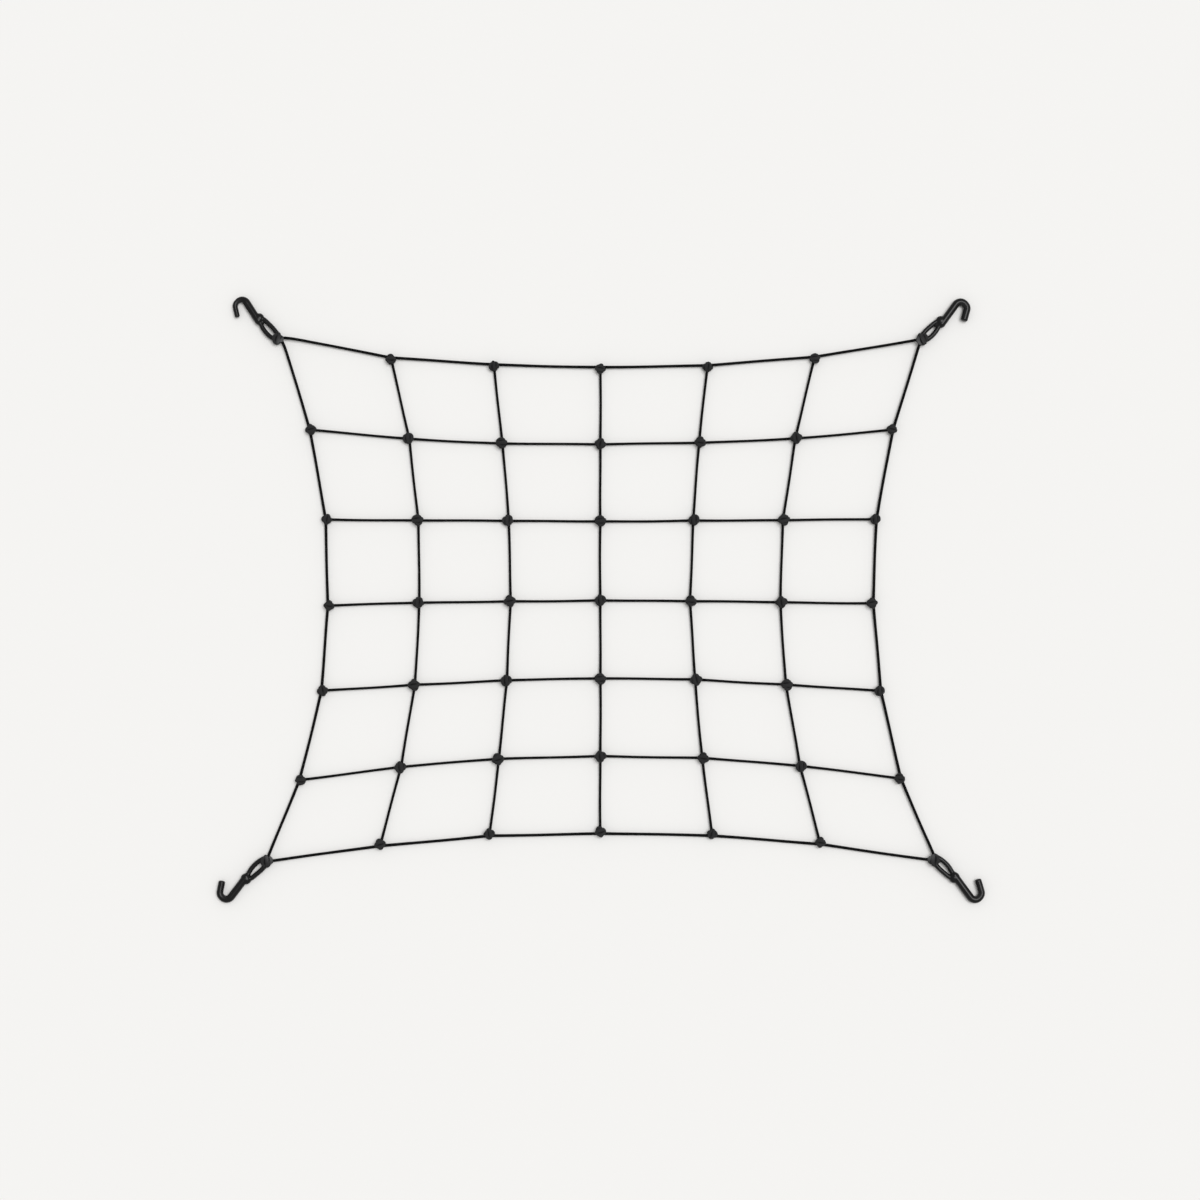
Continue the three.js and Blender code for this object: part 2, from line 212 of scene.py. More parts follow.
# %% The grid of knots, in millimetres
SQUARES = 6
MIDDLE = SQUARES / 2
ROWS = [
    {"half_width": 324.3, "middle": 234.1, "rise": 30.1, "power": 2.6},
    {"half_width": 292.0, "middle": 157.7, "rise": 14.8, "power": 2.27},
    {"half_width": 274.6, "middle": 79.8, "rise": 1.6, "power": 1.15},
    {"half_width": 271.1, "middle": 0, "rise": -2.9, "power": 1.1},
    {"half_width": 276.4, "middle": -78.4, "rise": -11.2, "power": 1.62},
    {"half_width": 296.6, "middle": -155.4, "rise": -21.9, "power": 1.98},
    {"half_width": 329.5, "middle": -229.7, "rise": -27.7, "power": 2.31},
]
SLIPS = [
    {"row": 0, "column": 0, "across": -1.0, "along": 0.5},
    {"row": 0, "column": 1, "across": 5.0, "along": -0.8},
    {"row": 0, "column": 2, "across": 0.9, "along": 1.0},
    {"row": 1, "column": 0, "across": 1.1, "along": -0.3},
    {"row": 1, "column": 1, "across": 1.9, "along": -0.2},
    {"row": 1, "column": 2, "across": -1.9, "along": -0.3},
    {"row": 1, "column": 4, "across": 2.9, "along": 0.4},
    {"row": 1, "column": 5, "across": 2.1, "along": 0.2},
    {"row": 1, "column": 6, "across": 0.9, "along": -0.2},
    {"row": 2, "column": 0, "across": 0.8, "along": 0},
    {"row": 2, "column": 2, "across": -1.1, "along": 0},
    {"row": 2, "column": 4, "across": 2.4, "along": 0.5},
    {"row": 2, "column": 5, "across": 0.7, "along": 0.2},
    {"row": 2, "column": 6, "across": 0.7, "along": 0.1},
    {"row": 3, "column": 0, "across": 0.4, "along": -2.4},
    {"row": 3, "column": 1, "across": -0.9, "along": -0.5},
    {"row": 4, "column": 0, "across": 0.2, "along": -0.5},
    {"row": 4, "column": 1, "across": -1.1, "along": -0.4},
    {"row": 4, "column": 2, "across": -1.6, "along": 0.1},
    {"row": 4, "column": 4, "across": 3.1, "along": 1.0},
    {"row": 4, "column": 5, "across": 1.4, "along": -0.2},
    {"row": 4, "column": 6, "across": 1.2, "along": -0.8},
    {"row": 5, "column": 0, "across": -0.5, "along": -1.5},
    {"row": 5, "column": 1, "across": -0.7, "along": -1.0},
    {"row": 5, "column": 2, "across": -2.7, "along": -0.3},
    {"row": 5, "column": 4, "across": 3.2, "along": 0.7},
    {"row": 5, "column": 5, "across": 1.2, "along": 0},
    {"row": 6, "column": 0, "across": 0, "along": -1.3},
    {"row": 6, "column": 1, "across": 1.9, "along": -1.4},
    {"row": 6, "column": 4, "across": 0.8, "along": 0},
    {"row": 6, "column": 5, "across": -2.1, "along": 0.4},
]


def knot_place(row, column):
    shape = ROWS[row]
    share = (column - MIDDLE) / MIDDLE
    place = Vector((
        shape["half_width"] * share,
        shape["middle"] + shape["rise"] * abs(share) ** shape["power"],
    ))
    for slip in SLIPS:
        if (slip["row"], slip["column"]) == (row, column):
            place += Vector((slip["across"], slip["along"]))
    return place


print("knots:", (SQUARES + 1) ** 2, "middle one at", tuple(knot_place(3, 3)))

# %% [markdown]
# ## Where the cords run
#
# A cord doesn't pass through the middle of each knot. Along the border it runs just outside, so that the knot
# hangs inside it; within the net it runs a little nearer the net's middle. In a corner the two border cords
# meet where the corner's own knot takes them, and the table of corners says where that is. No two hooks are
# bent and dipped quite alike, so the same table holds each hook's angle, reach, turn, arm and web, for later.

# %% Crossings of the cords, in millimetres
KNOT_LIFT = 3.6
CORNER_KNOT_LIFT = 4.7
BORDER_PULL = {"top": 1.8, "bottom": 1.8, "left": 1.2, "right": 1.4}
COLUMN_PULL = 0.9
ROW_PULL = 0.4
CORNERS = [
    {
        "row": 0, "column": 0, "meet": (3.8, 2.5), "angle": 42.9, "slide": 2.2,
        "eye_shift": -1.2, "reach": 48.5, "turn": 161, "arm": 9.6, "arm_width": 5.3, "web": 5.3,
    },
    {
        "row": 0, "column": SQUARES, "meet": (-1.2, 0.1), "angle": 39.5, "slide": 0.7,
        "eye_shift": -1, "reach": 50.5, "turn": 160, "arm": 10.9, "arm_width": 7.4, "web": 6.5,
    },
    {
        "row": SQUARES, "column": 0, "meet": (-0.7, -0.6), "angle": 38.6, "slide": 0.5,
        "eye_shift": 0, "reach": 50, "turn": 154, "arm": 9.8, "arm_width": 6.7, "web": 2.9,
    },
    {
        "row": SQUARES, "column": SQUARES, "meet": (2.8, -0.9), "angle": 39.5, "slide": 0.4,
        "eye_shift": 0.2, "reach": 51.8, "turn": 160, "arm": 11.6, "arm_width": 6.7, "web": 2.9,
    },
]


def outwards(index):
    return (index > MIDDLE) - (index < MIDDLE)


def on_border(index):
    return index % SQUARES == 0


def corner_at(row, column):
    found = [corner for corner in CORNERS if (corner["row"], corner["column"]) == (row, column)]
    return found[0] if found else None


def column_pull(row, column):
    if on_border(column):
        return -BORDER_PULL["left"] if column == 0 else BORDER_PULL["right"]
    return 0 if on_border(row) else -outwards(column) * COLUMN_PULL


def row_pull(row, column):
    if on_border(row):
        return BORDER_PULL["top"] if row == 0 else -BORDER_PULL["bottom"]
    return 0 if on_border(column) else outwards(row) * ROW_PULL


def crossing(row, column):
    knot = knot_place(row, column)
    corner = corner_at(row, column)
    if corner:
        return Vector((*(knot + Vector(corner["meet"])), CORNER_KNOT_LIFT))
    return Vector((knot.x + column_pull(row, column), knot.y + row_pull(row, column), KNOT_LIFT))


print("corner cords meet at", [tuple(round(v, 1) for v in crossing(c["row"], c["column"])) for c in CORNERS])

# %% [markdown]
# ## Braided cord as a material
#
# Shock cord is a bundle of rubber threads inside a braided sleeve. In the braid, one set of yarns winds to
# the right and another to the left, and each passes over and under the other in turn. The pattern has to
# follow the cord round its bends, so it reads the cord's own UV map: U is the distance along the cord in
# metres, and V is the way round it from 0 to 1.
#
# Adding U and V gives the right-hand yarns, and subtracting them the left-hand ones. The sine of each is a
# rounded yarn, and a chequer of the two whole numbers says which yarn is on top. The result drives the
# colour, the roughness and the bump; in the colour, the grooves between the yarns are painted darker, as
# painted shade. A number that is the same all over the cord is set on the shader itself. Where the mesh's
# attribute says so, the tops of the yarns are painted paler, as a painted highlight.

# %% Braided cord
YARNS = 8
FIBRE_HEIGHT = 0.35
CORD_FADE = {"low": 0.55, "high": 1.15}
CORD_ROUGHNESS = {"low": 0.62, "high": 0.9}
# Tone of the painted highlight on the yarn tops of the corners' knots
PAINTED_HIGHLIGHT_TONE = (0.16, 0.16, 0.163)


def rounded_yarns(tree, way):
    """The height of yarns counted along a way: 0 in the grooves between them, 1 on their tops."""
    wave = calculate(tree, "SINE", calculate(tree, "MULTIPLY", way, math.pi))
    return calculate(tree, "ABSOLUTE", wave)


def braided(name, turn_length, yarn_tone, painted_groove_shade, relief):
    """Braid whose yarns go once round the cord in turn_length metres."""
    material, tree, shader = new_material(name)
    uv = add_node(tree, "ShaderNodeSeparateXYZ", Vector=add_node(tree, "ShaderNodeUVMap").outputs[0])
    along = calculate(tree, "MULTIPLY", uv.outputs[0], YARNS / turn_length)
    around = calculate(tree, "MULTIPLY", uv.outputs[1], YARNS)
    right = calculate(tree, "ADD", around, along)
    left = calculate(tree, "SUBTRACT", around, along)
    counted = calculate(tree, "ADD", calculate(tree, "FLOOR", right), calculate(tree, "FLOOR", left))
    left_on_top = calculate(tree, "FLOORED_MODULO", counted, 2)
    yarn = add_node(
        tree, "ShaderNodeMix", Factor=left_on_top, A=rounded_yarns(tree, right), B=rounded_yarns(tree, left),
    ).outputs[0]

    place = add_node(tree, "ShaderNodeTexCoord").outputs["Object"]
    fibre = add_node(tree, "ShaderNodeTexNoise", Vector=place, Scale=5200.0, Detail=3.0).outputs["Fac"]
    fade = add_node(tree, "ShaderNodeTexNoise", Vector=place, Scale=45.0, Detail=3.0).outputs["Fac"]
    height = calculate(tree, "ADD", yarn, calculate(tree, "MULTIPLY", fibre, FIBRE_HEIGHT))
    # Painted shade: the colour darkens with the height into the grooves between the yarns; the slow fade is
    # the cord's own random tone
    groove_shade_and_fade = calculate(tree, "MULTIPLY", height, spread(tree, fade, **CORD_FADE))

    # Painted highlight: where the mesh's attribute says so, the yarn tops are painted paler
    painted_highlight = add_node(tree, "ShaderNodeAttribute", {"attribute_name": "painted_highlight"}).outputs["Fac"]
    painted_highlight_tops = calculate(tree, "MULTIPLY", painted_highlight, yarn)
    tint = add_node(tree, "ShaderNodeMix", {"data_type": "RGBA"}, Factor=painted_highlight_tops)
    plug(tree, tint, 6, two_tones(tree, groove_shade_and_fade, painted_groove_shade, yarn_tone))
    plug(tree, tint, 7, (*PAINTED_HIGHLIGHT_TONE, 1))
    plug(tree, shader, "Base Color", tint.outputs[2])
    plug(tree, shader, "Roughness", spread(tree, fibre, **CORD_ROUGHNESS))
    bump = add_node(tree, "ShaderNodeBump", Height=height, Strength=relief, Distance=0.2 * MM)
    plug(tree, shader, "Normal", bump.outputs["Normal"])
    shader.inputs["Specular IOR Level"].default_value = 0.07
    shader.inputs["Sheen Weight"].default_value = 0.03
    shader.inputs["Sheen Roughness"].default_value = 0.45
    return material


# In both cords the groove tone is painted shade in the braid's grooves
stretched_cord = braided(
    "stretched_cord", turn_length=0.013,
    yarn_tone=(0.0036, 0.0036, 0.0038), painted_groove_shade=(0.001, 0.001, 0.001), relief=0.6,
)
slack_cord = braided(
    "slack_cord", turn_length=0.009,
    yarn_tone=(0.036, 0.036, 0.037), painted_groove_shade=(0.004, 0.004, 0.0042), relief=0.8,
)
print("materials:", stretched_cord.name, slack_cord.name)

# %% [markdown]
# ## Sweeping a cord
#
# A curve with a round bevel is Blender's own way to lay a cord: give it the points of the middle line, and a
# radius at each. Turned into a mesh, it already has a UV map that runs from 0 to 1 along the cord and round
# it. The first of those is multiplied by the cord's length, so that every cord's braid has the same pitch.

# %% A round cord as a mesh
def cord_mesh(name, points, widths, sides, closed=False):
    """A cord along points, in millimetres, with its width at each. The number of sides is even."""
    curve = bpy.data.curves.new(name, "CURVE")
    curve.dimensions = "3D"
    curve.bevel_depth = MM / 2
    curve.bevel_resolution = sides // 2 - 2
    curve.use_fill_caps = not closed
    spline = curve.splines.new("POLY")
    spline.use_cyclic_u = closed
    spline.points.add(len(points) - 1)
    for stop, point, width in zip(spline.points, points, widths):
        stop.co = (*(point * MM), 1)
        stop.radius = width
    length = sum((b - a).length for a, b in zip(points, points[1:])) * MM
    holder = bpy.data.objects.new(name, curve)
    mesh = bpy.data.meshes.new_from_object(holder)
    bpy.data.objects.remove(holder)
    bpy.data.curves.remove(curve)
    for corner in mesh.uv_layers[0].data:
        corner.uv.x *= length
    mesh.name = name
    mesh.shade_smooth()
    return mesh, length


def add_piece(name, mesh, material, nodes):
    """A finished piece: shown, on the frame's one body, in place of its solids."""
    mesh.materials.clear()
    mesh.materials.append(material)
    piece = bpy.data.objects.new(name, mesh)
    bpy.context.scene.collection.objects.link(piece)
    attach(piece, "root")
    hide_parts(*nodes)
    return piece


# %% [markdown]
# ## The cords
#
# Each cord runs from border to border. Between two knots it is stretched and straight, but not perfectly: it
# sags under its own weight, wanders sideways by a fraction of a millimetre, and is thinnest halfway, where
# the knots don't hold its braid open. The four border cords are thicker than the ten inside, and come out of
# the middle of the corners' knots in a curve.

# %% Cords
STEPS_PER_SPAN = 22
SPAN_SAG = 0.8
SPAN_WANDER = 0.4
WANDER_CHANGE = {"per_cord": 2.3, "per_span": 1.7, "along_span": 2}
CORD_WIDTHS = {"border": {"halfway": 2.75, "at_knot": 3.15}, "inner": {"halfway": 2.5, "at_knot": 2.9}}
THINNING = 0.6
FUZZ = {"height": 0.05, "per_mm": 0.35}
CORD_SIDES = 14
LEAD_STEPS = 4


def cord_line(crossings, number):
    """The middle line of a cord and its width at each point, in millimetres."""
    kind = CORD_WIDTHS["border" if on_border(number) else "inner"]
    points, widths = [], []
    for span in range(SQUARES):
        start, end = crossings[span], crossings[span + 1]
        sideways = Vector((start.y - end.y, end.x - start.x, 0)).normalized()
        for step in range(STEPS_PER_SPAN + (span == SQUARES - 1)):
            share = step / STEPS_PER_SPAN
            belly = math.sin(math.pi * share)
            phase = WANDER_CHANGE["per_cord"] * number + WANDER_CHANGE["per_span"] * span
            wander = SPAN_WANDER * belly * math.sin(phase + WANDER_CHANGE["along_span"] * share)
            point = start.lerp(end, share) + wander * sideways
            point.z -= SPAN_SAG * belly
            fuzz = FUZZ["height"] * noise.noise(Vector((point.x, point.y, 0)) * FUZZ["per_mm"])
            points.append(point)
            widths.append(kind["at_knot"] + (kind["halfway"] - kind["at_knot"]) * belly ** THINNING + fuzz)
    return points, widths


def led_out(points, knot):
    """The points again, but with the first few in a curve out of the middle of a corner's knot."""
    bend, leave = points[0], points[LEAD_STEPS]
    curve = []
    for step in range(LEAD_STEPS):
        share = step / LEAD_STEPS
        curve.append(knot.lerp(bend, share).lerp(bend.lerp(leave, share), share))
    return curve + points[LEAD_STEPS:]


def corner_knot(row, column):
    return Vector((*knot_place(row, column), CORNER_KNOT_LIFT))


cord_lengths = {}
for number in range(SQUARES + 1):
    for name, places in (
        (f"cord_across_{number}", [(number, column) for column in range(SQUARES + 1)]),
        (f"cord_along_{number}", [(row, number) for row in range(SQUARES + 1)]),
    ):
        points, widths = cord_line([crossing(*place) for place in places], number)
        if on_border(number):
            points = led_out(points, corner_knot(*places[0]))
            points = led_out(points[::-1], corner_knot(*places[-1]))[::-1]
        mesh, cord_lengths[name] = cord_mesh(name, points, widths, CORD_SIDES)
        add_piece(name, mesh, stretched_cord, ["net"])
print("cord between the knots:", round(sum(cord_lengths.values()), 2), "m")

# %% [markdown]
# ## The knots
#
# Where two cords cross, one is tied round the other and pulled down into a ball about 11 mm across. Its turns
# show as rounded bands that lean over one another. A line that winds three times round a ring while it winds
# four times through it (a torus knot) makes just such a ball, and closes on itself, so no loose end shows.
# Only the winding is worked out here; the curve's bevel makes the cord. A dark ball inside fills the gaps.
# The corners' knots, each hitched round a hook's eye, are a little bigger.

# %% One knot and one hitch
KNOT_WINDINGS = {"round": 3, "through": 4}
KNOT_SHAPE = {"ring": 2.42, "tube": 1.73, "length": 3.5, "cord": 3.6}
HITCH_SHAPE = {"ring": 2.78, "tube": 1.8, "length": 3.8, "cord": 3.66}
KNOT_STEPS = 96
KNOT_SIDES = 10
FILLING_SHARE = 0.72


def winding_line(shape):
    """The middle line of the turns of a knot that winds round the X axis."""
    points = []
    for step in range(KNOT_STEPS):
        share = 2 * math.pi * step / KNOT_STEPS
        round_angle = KNOT_WINDINGS["round"] * share
        tube_angle = KNOT_WINDINGS["through"] * share
        distance = shape["ring"] + shape["tube"] * math.cos(tube_angle)
        points.append(Vector((
            shape["length"] * math.sin(tube_angle),
            distance * math.cos(round_angle),
            distance * math.sin(round_angle),
        )))
    return points


def knot_radius(shape):
    return shape["ring"] + shape["tube"] + shape["cord"] / 2


def knot_mesh(name, shape):
    """A knot of real size round the origin, with its dark filling."""
    widths = [shape["cord"]] * KNOT_STEPS
    turns, length = cord_mesh(name, winding_line(shape), widths, KNOT_SIDES, closed=True)
    ball = bmesh.new()
    ball.from_mesh(turns)
    filling_radius = FILLING_SHARE * knot_radius(shape) * MM
    filling = bmesh.ops.create_icosphere(ball, subdivisions=2, radius=filling_radius)
    for face in {face for vert in filling["verts"] for face in vert.link_faces}:
        face.smooth = True
    ball.to_mesh(turns)
    ball.free()
    return turns, length


knot, knot_cord_length = knot_mesh("knot", KNOT_SHAPE)
hitch, hitch_cord_length = knot_mesh("hitch", HITCH_SHAPE)
print("cord in a knot:", round(knot_cord_length, 3), "m")
print("cord in a corner's hitch:", round(hitch_cord_length, 3), "m")

# %% [markdown]
# Every crossing gets a copy of that ball, turned to its own angle, a little larger or smaller, and flattened
# where it lies on the surface. Smooth noise stands for chance here, because it gives the same knots in every
# run. The border's knots are pulled tighter, so they are smaller. The corners' knots get a painted highlight:
# the tops of their yarns are painted paler on top and on the side that faces the net's middle. All knots of
# a row are one piece.

# %% All the knots
KNOT_FLATTENING = 0.88
BORDER_KNOT_SIZE = 0.92
CHANCE_STEPS = {"row": 3.7, "column": 2.9}
CHANCE_START = {"row": 0.3, "column": 0.6, "layer": 1.7}
CHANCE_EFFECT = {"size": 0.05, "heading": 0.5, "roll": 2}
# Where the painted highlight lies on a corner's knot: towards the top and towards the net's middle
PAINTED_HIGHLIGHT_PATCH = {"upwards": 0.6, "narrowness": 3}


def knot_chance(row, column):
    """A number from -1 to 1 for each knot, always the same."""
    return noise.noise(Vector((
        row * CHANCE_STEPS["row"] + CHANCE_START["row"],
        column * CHANCE_STEPS["column"] + CHANCE_START["column"],
        CHANCE_START["layer"],
    )))


def knot_matrix(row, column, shape):
    """Turns, sizes, flattens and places the knot of one crossing."""
    chance = knot_chance(row, column)
    size = 1 + CHANCE_EFFECT["size"] * chance
    if (on_border(row) or on_border(column)) and not corner_at(row, column):
        size *= BORDER_KNOT_SIZE
    angle = math.radians(45 if (row + column) % 2 else 135) + CHANCE_EFFECT["heading"] * chance
    place = knot_place(row, column) * MM
    height = knot_radius(shape) * size * KNOT_FLATTENING * MM
    return (
        Matrix.Translation((place.x, place.y, height))
        @ Matrix.Diagonal((size, size, size * KNOT_FLATTENING, 1))
        @ Matrix.Rotation(angle, 4, "Z")
        @ Matrix.Rotation(chance * CHANCE_EFFECT["roll"], 4, "X")
    )


for row in range(SQUARES + 1):
    tied = bmesh.new()
    # An attribute that holds the painted highlight of the corners' knots
    painted_highlight = tied.verts.layers.float.new("painted_highlight")
    for column in range(SQUARES + 1):
        source, shape = (hitch, HITCH_SHAPE) if corner_at(row, column) else (knot, KNOT_SHAPE)
        before = len(tied.verts)
        tied.from_mesh(source)
        tied.verts.ensure_lookup_table()
        bmesh.ops.transform(tied, matrix=knot_matrix(row, column, shape), verts=tied.verts[before:])
        if corner_at(row, column):
            # Painted highlight: paler on top and on the side that faces the net's middle
            middle = corner_knot(row, column) * MM
            inwards = Vector((-outwards(column), outwards(row), PAINTED_HIGHLIGHT_PATCH["upwards"])).normalized()
            for vert in tied.verts[before:]:
                facing = max(0, (vert.co - middle).normalized().dot(inwards))
                vert[painted_highlight] = facing ** PAINTED_HIGHLIGHT_PATCH["narrowness"]
    mesh = bpy.data.meshes.new(f"knots_{row}")
    tied.to_mesh(mesh)
    tied.free()
    add_piece(mesh.name, mesh, slack_cord, ["net"])
    print(mesh.name, len(mesh.polygons), "faces")

# %% [markdown]
# ## Black coating as a material
#
# The hooks are steel wire dipped in soft plastic. The coating is satin, with a skin that is slightly uneven,
# like orange peel. Where a hook bears on a pole, and at its tip, it is rubbed duller and paler. Each hook's
# mesh has an attribute that says how rubbed each point is; the material reads it, so the wear stays where the
# metal would really be touched.

# %% Dipped coating
COATING_TONES = {"dark": (0.0022, 0.0022, 0.0023), "pale": (0.016, 0.016, 0.0165)}
CLOUD_PALENESS = 0.25
SCUFF_SPREAD = {"low": 0.3, "high": 1.5}
SCUFF_ROUGHNESS = 0.25
SKIN_ROUGHNESS = {"low": 0.2, "high": 0.3}
GRAIN_HEIGHT = 0.3


def dipped_coating():
    material, tree, shader = new_material("dipped_coating")
    place = add_node(tree, "ShaderNodeTexCoord").outputs["Object"]
    peel = add_node(tree, "ShaderNodeTexNoise", Vector=place, Scale=900.0, Detail=2.0).outputs["Fac"]
    grain = add_node(tree, "ShaderNodeTexNoise", Vector=place, Scale=3800.0, Detail=2.0).outputs["Fac"]
    cloud = add_node(tree, "ShaderNodeTexNoise", Vector=place, Scale=120.0, Detail=4.0).outputs["Fac"]
    rubbed = add_node(tree, "ShaderNodeAttribute", {"attribute_name": "rubbed"}).outputs["Fac"]
    scuffed = calculate(tree, "MULTIPLY", rubbed, spread(tree, cloud, **SCUFF_SPREAD))

    paleness = calculate(tree, "ADD", scuffed, calculate(tree, "MULTIPLY", cloud, CLOUD_PALENESS))
    plug(tree, shader, "Base Color", two_tones(tree, paleness, **COATING_TONES))
    smooth_skin = spread(tree, peel, **SKIN_ROUGHNESS)
    scuffed_skin = calculate(tree, "MULTIPLY", scuffed, SCUFF_ROUGHNESS)
    plug(tree, shader, "Roughness", calculate(tree, "ADD", smooth_skin, scuffed_skin))
    skin = calculate(tree, "ADD", peel, calculate(tree, "MULTIPLY", grain, GRAIN_HEIGHT))
    bump = add_node(tree, "ShaderNodeBump", Height=skin, Strength=0.25, Distance=0.08 * MM)
    plug(tree, shader, "Normal", bump.outputs["Normal"])
    shader.inputs["Specular IOR Level"].default_value = 0.24
    return material


coating = dipped_coating()
print("material:", coating.name)

# %% [markdown]
# ## Bending a wire
#
# A wire bender feeds wire forward and turns it round a peg. Two bmesh operators do the same: extrude the rim
# of the wire and move it forward, or spin the rim about a peg. The class below keeps the rim, the place and
# the heading, so a hook can be written down as a short list of feeds and bends.

# %% A wire and its bender
WIRE_SIDES = 24
BEND_STEP = 8


class Wire:
    def __init__(self, shape, place, heading, width):
        self.shape, self.place, self.heading, self.width = shape, place, heading, width
        upright = Matrix.Rotation(math.pi / 2, 4, "Y")
        stand = Matrix.Translation(place) @ Matrix.Rotation(heading, 4, "Z") @ upright
        ring = bmesh.ops.create_circle(
            shape, cap_ends=True, segments=WIRE_SIDES, radius=width / 2, matrix=stand,
        )
        self.rim = list({edge for vert in ring["verts"] for edge in vert.link_edges})

    def forward(self):
        return Vector((math.cos(self.heading), math.sin(self.heading), 0))

    def feed(self, length, width=None):
        """Straight on, growing or shrinking to a new width."""
        made = bmesh.ops.extrude_edge_only(self.shape, edges=self.rim)["geom"]
        verts = {item for item in made if isinstance(item, bmesh.types.BMVert)}
        edges = [item for item in made if isinstance(item, bmesh.types.BMEdge)]
        self.rim = [edge for edge in edges if set(edge.verts) <= verts]
        bmesh.ops.translate(self.shape, verts=list(verts), vec=self.forward() * length)
        self.place = self.place + self.forward() * length
        self.resize(width or self.width)

    def bend(self, radius, turn, width=None):
        """Round a peg of that radius, to the left for a positive turn in degrees, while changing in width."""
        steps = max(2, round(abs(turn) / BEND_STEP))
        angle = math.radians(turn) / steps
        growth = ((width or self.width) - self.width) / steps
        for _ in range(steps):
            side = Vector((-math.sin(self.heading), math.cos(self.heading), 0)) * math.copysign(radius, turn)
            peg = self.place + side
            spun = bmesh.ops.spin(
                self.shape, geom=self.rim, cent=peg, axis=(0, 0, 1), angle=angle, steps=1,
                use_duplicate=False,
            )
            self.rim = [item for item in spun["geom_last"] if isinstance(item, bmesh.types.BMEdge)]
            self.place = peg - Matrix.Rotation(angle, 3, "Z") @ side
            self.heading += angle
            self.resize(self.width + growth)

    def resize(self, width):
        verts = {vert for edge in self.rim for vert in edge.verts}
        centred = Matrix.Translation(-self.place)
        bmesh.ops.scale(self.shape, verts=list(verts), vec=(width / self.width,) * 3, space=centred)
        self.width = width

    def close(self):
        bmesh.ops.edgeloop_fill(self.shape, edges=self.rim)


# %% [markdown]
# ## The hooks
#
# Each hook has a long eye of thinner wire, a thick shank and a J with a rounded tip. The eye and the shank
# are bent as two wires, in a flat plane where X runs from the knot along the hook. The shank leans across
# that line and its bend brings it back, so its length is worked out from how far the hook reaches.

# %% Eye and shank, in millimetres
EYE_WIRE = 4.8
EYE_OFFSET = 1.25
EYE_START = Vector((26, -1.0, 0))
EYE_START_HEADING = math.radians(206.9)
EYE_BENDS = [
    {"feed": 3.4, "radius": 6, "turn": -20.1},
    {"feed": 2.0, "radius": 78.1, "turn": -13.6},
    {"feed": 0.01, "radius": 3.15, "turn": -154.46},
    {"feed": 0.01, "radius": 31.1, "turn": -37.48},
]
EYE_TUCK = 5.5
EYE_LEAN = math.radians(5)
SHANK_START = 24
SHANK_LEAN = math.radians(14.5)
SHANK_WIDTH = 7.6
SHANK_NOSE = {"length": 2.5, "width": 5}
BEND_RADIUS = 5.8
SADDLE_SHARE = 4.5 / 7
SADDLE_LENGTH = 1
TIP_ROUNDING = [
    {"feed": 0.5, "share": 0.96},
    {"feed": 0.4, "share": 0.88},
    {"feed": 0.35, "share": 0.73},
    {"feed": 0.2, "share": 0.52},
]


def bend_eye(shape, hook):
    axis = Vector((0, EYE_OFFSET + hook["eye_shift"], 0))
    start = len(shape.verts)
    wire = Wire(shape, EYE_START + axis, EYE_START_HEADING, EYE_WIRE)
    for step in EYE_BENDS:
        wire.feed(step["feed"])
        wire.bend(step["radius"], step["turn"])
    wire.feed(EYE_TUCK)
    wire.close()
    shape.verts.ensure_lookup_table()
    bmesh.ops.rotate(shape, verts=shape.verts[start:], matrix=Matrix.Rotation(-EYE_LEAN, 3, "Z"))


def bend_shank(shape, hook):
    forward = Vector((math.cos(SHANK_LEAN), -math.sin(SHANK_LEAN), 0))
    left = Vector((math.sin(SHANK_LEAN), math.cos(SHANK_LEAN), 0))
    bend_start = Vector((hook["reach"], 0, 0)) - left * BEND_RADIUS
    length = (bend_start.x - SHANK_START) / forward.x
    nose = bend_start - forward * (length + SHANK_NOSE["length"])
    wire = Wire(shape, nose, -SHANK_LEAN, SHANK_NOSE["width"])
    wire.feed(SHANK_NOSE["length"], SHANK_WIDTH)
    wire.feed(length)
    wire.bend(BEND_RADIUS, hook["turn"] * SADDLE_SHARE, hook["arm_width"])
    wire.feed(SADDLE_LENGTH)
    wire.bend(BEND_RADIUS, hook["turn"] * (1 - SADDLE_SHARE))
    wire.feed(hook["arm"] - TIP_ROUNDING[0]["feed"])
    for step in TIP_ROUNDING:
        wire.feed(step["feed"], step["share"] * hook["arm_width"])
    wire.close()
    return wire.place


print("eye of", EYE_WIRE, "mm wire, shank of", SHANK_WIDTH, "mm")

# %% [markdown]
# The end of the wire is closed onto the shank beside the eye. The coating hides that joint in a soft collar,
# and fills the narrow end of the eye's slit with a thin web. Both are stretched spheres. A voxel remesh then
# melts them and the two wires into one skin, as the dip does, and smoothing takes the voxels' steps away. A
# boolean join would leave sharp seams, where a dipped hook has none.

# %% Collar, web and dip
COLLAR_SIZE = (10.4, 11.2, 7.6)
COLLAR_PLACE = Vector((26.2, -0.9, 0))
WEB_WIDTH = 7
WEB_THICKNESS = 4.2
WEB_PLACE = Vector((24, -0.5, 0))
VOXEL = 0.34
SMOOTHING_ROUNDS = 9
SMOOTHING = {"factor": 0.5, "use_axis_x": True, "use_axis_y": True, "use_axis_z": True}


def add_lump(shape, hook, size, place):
    """A soft lump of coating."""
    centre = place + Vector((0, hook["eye_shift"], 0))
    bmesh.ops.create_uvsphere(
        shape, u_segments=24, v_segments=12, radius=0.5,
        matrix=Matrix.Translation(centre) @ Matrix.Diagonal((*size, 1)),
    )


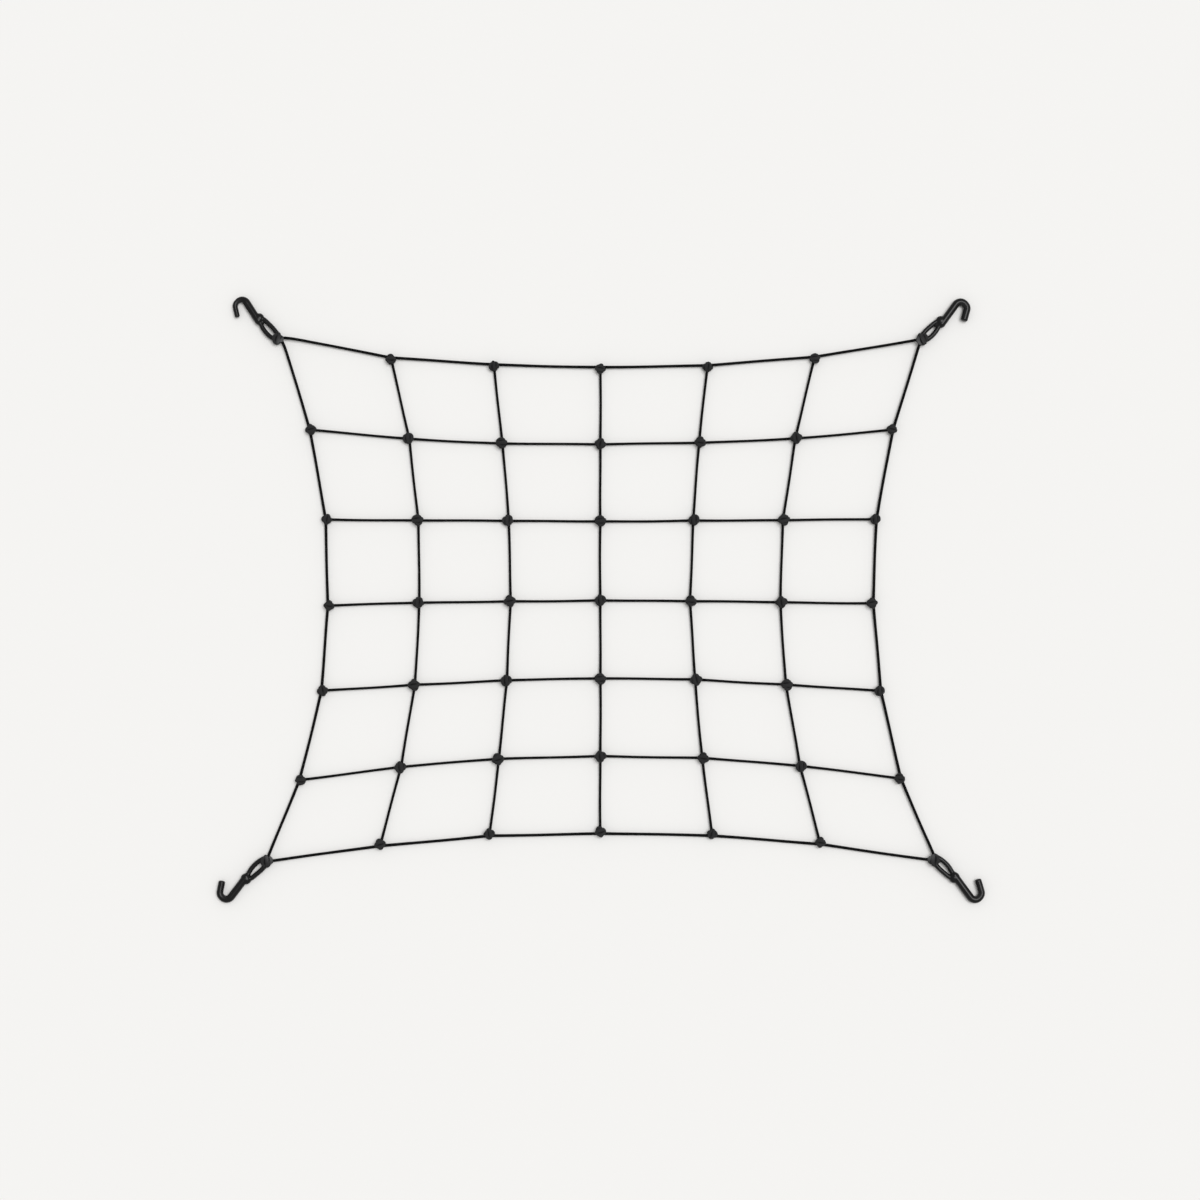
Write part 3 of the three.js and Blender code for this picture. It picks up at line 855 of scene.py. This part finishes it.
def dipped(shape):
    """The shapes melted into one smooth skin, still in millimetres."""
    rough = bpy.data.meshes.new("rough")
    shape.to_mesh(rough)
    holder = bpy.data.objects.new("rough", rough)
    bpy.context.scene.collection.objects.link(holder)
    melt = holder.modifiers.new("melt", "REMESH")
    melt.mode = "VOXEL"
    melt.voxel_size = VOXEL
    evaluated = holder.evaluated_get(bpy.context.evaluated_depsgraph_get())
    skin_mesh = bpy.data.meshes.new_from_object(evaluated)
    bpy.data.objects.remove(holder)
    bpy.data.meshes.remove(rough)
    skin = bmesh.new()
    skin.from_mesh(skin_mesh)
    bpy.data.meshes.remove(skin_mesh)
    for _ in range(SMOOTHING_ROUNDS):
        bmesh.ops.smooth_vert(skin, verts=skin.verts, **SMOOTHING)
    return skin


print("coating melts together in cells of", VOXEL, "mm")

# %% [markdown]
# A hook goes from its flat plane to its corner in a few steps, each a matrix of its own: it is turned over
# where the corner calls for it, tipped until the end of its shank lies on the surface, turned to its angle,
# and moved so that its eye lies in the corner's knot.

# %% Placing a hook
SURFACE_GAP = 0.05


def hook_matrix(hook):
    knot_at = knot_place(hook["row"], hook["column"])
    angle = math.radians(hook["angle"])
    across = outwards(hook["column"])
    along = -outwards(hook["row"])
    out = Vector((across * math.cos(angle), along * math.sin(angle)))
    start = knot_at + hook["slide"] * out
    drop = CORNER_KNOT_LIFT - SHANK_WIDTH / 2 - SURFACE_GAP
    tip_down = math.asin(drop / hook["reach"])
    return (
        Matrix.Scale(MM, 4)
        @ Matrix.Translation((*start, CORNER_KNOT_LIFT))
        @ Matrix.Rotation(math.atan2(out.y, out.x), 4, "Z")
        @ Matrix.Rotation(tip_down, 4, "Y")
        @ Matrix.Diagonal((1, -along * across, 1, 1))
    )


def hook_name(hook):
    return f"hook_{'top' if hook['row'] == 0 else 'bottom'}_{'left' if hook['column'] == 0 else 'right'}"


print("hooks:", [hook_name(hook) for hook in CORNERS])

# %% [markdown]
# Now each hook is bent, dipped and placed. How rubbed a point is depends on how near it lies to the seat of
# the bend and to the tip, which is easiest to say in the flat plane. Two of the four are turned over, and
# the normals are worked out afresh because turning a shape over also turns them in.

# %% Hooks
RUBBED_SEAT_REACH = 5.5
RUBBED_TIP_REACH = 3.2
TIP_RUBBING = 0.8
RUBBING_FALLOFF = 0.8

for hook in CORNERS:
    rough_shape = bmesh.new()
    bend_eye(rough_shape, hook)
    tip = bend_shank(rough_shape, hook)
    add_lump(rough_shape, hook, COLLAR_SIZE, COLLAR_PLACE)
    add_lump(rough_shape, hook, (2 * hook["web"], WEB_WIDTH, WEB_THICKNESS), WEB_PLACE)
    bmesh.ops.recalc_face_normals(rough_shape, faces=rough_shape.faces)
    skin = dipped(rough_shape)
    rough_shape.free()
    seat = Vector((hook["reach"] + BEND_RADIUS - hook["arm_width"] / 2, 0, 0))
    rub = skin.verts.layers.float.new("rubbed")
    for vert in skin.verts:
        near_seat = max(0, 1 - (vert.co - seat).length / RUBBED_SEAT_REACH)
        near_tip = max(0, 1 - (vert.co - tip).length / RUBBED_TIP_REACH)
        vert[rub] = max(near_seat, TIP_RUBBING * near_tip) ** RUBBING_FALLOFF
    bmesh.ops.transform(skin, matrix=hook_matrix(hook), verts=skin.verts)
    bmesh.ops.recalc_face_normals(skin, faces=skin.faces)
    mesh = bpy.data.meshes.new(hook_name(hook) + "_dipped")
    skin.to_mesh(mesh)
    skin.free()
    mesh.shade_smooth()
    add_piece(mesh.name, mesh, coating, [hook_name(hook)])
    low = min(vert.co.z for vert in mesh.vertices) / MM
    print(mesh.name, len(mesh.polygons), "faces, lowest point", round(low, 2), "mm")

# %% [markdown]
# ## Measuring the result
#
# So that the net's size can be compared with and without the looks, the box of what is shown is printed
# beside the box of the solids.

# %% Sizes, and the end
shown_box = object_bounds()
for label, (low, high) in (("solids", solid_box), ("shown", shown_box)):
    print(label, [round((b - a) / MM, 1) for a, b in zip(low, high)], "mm")
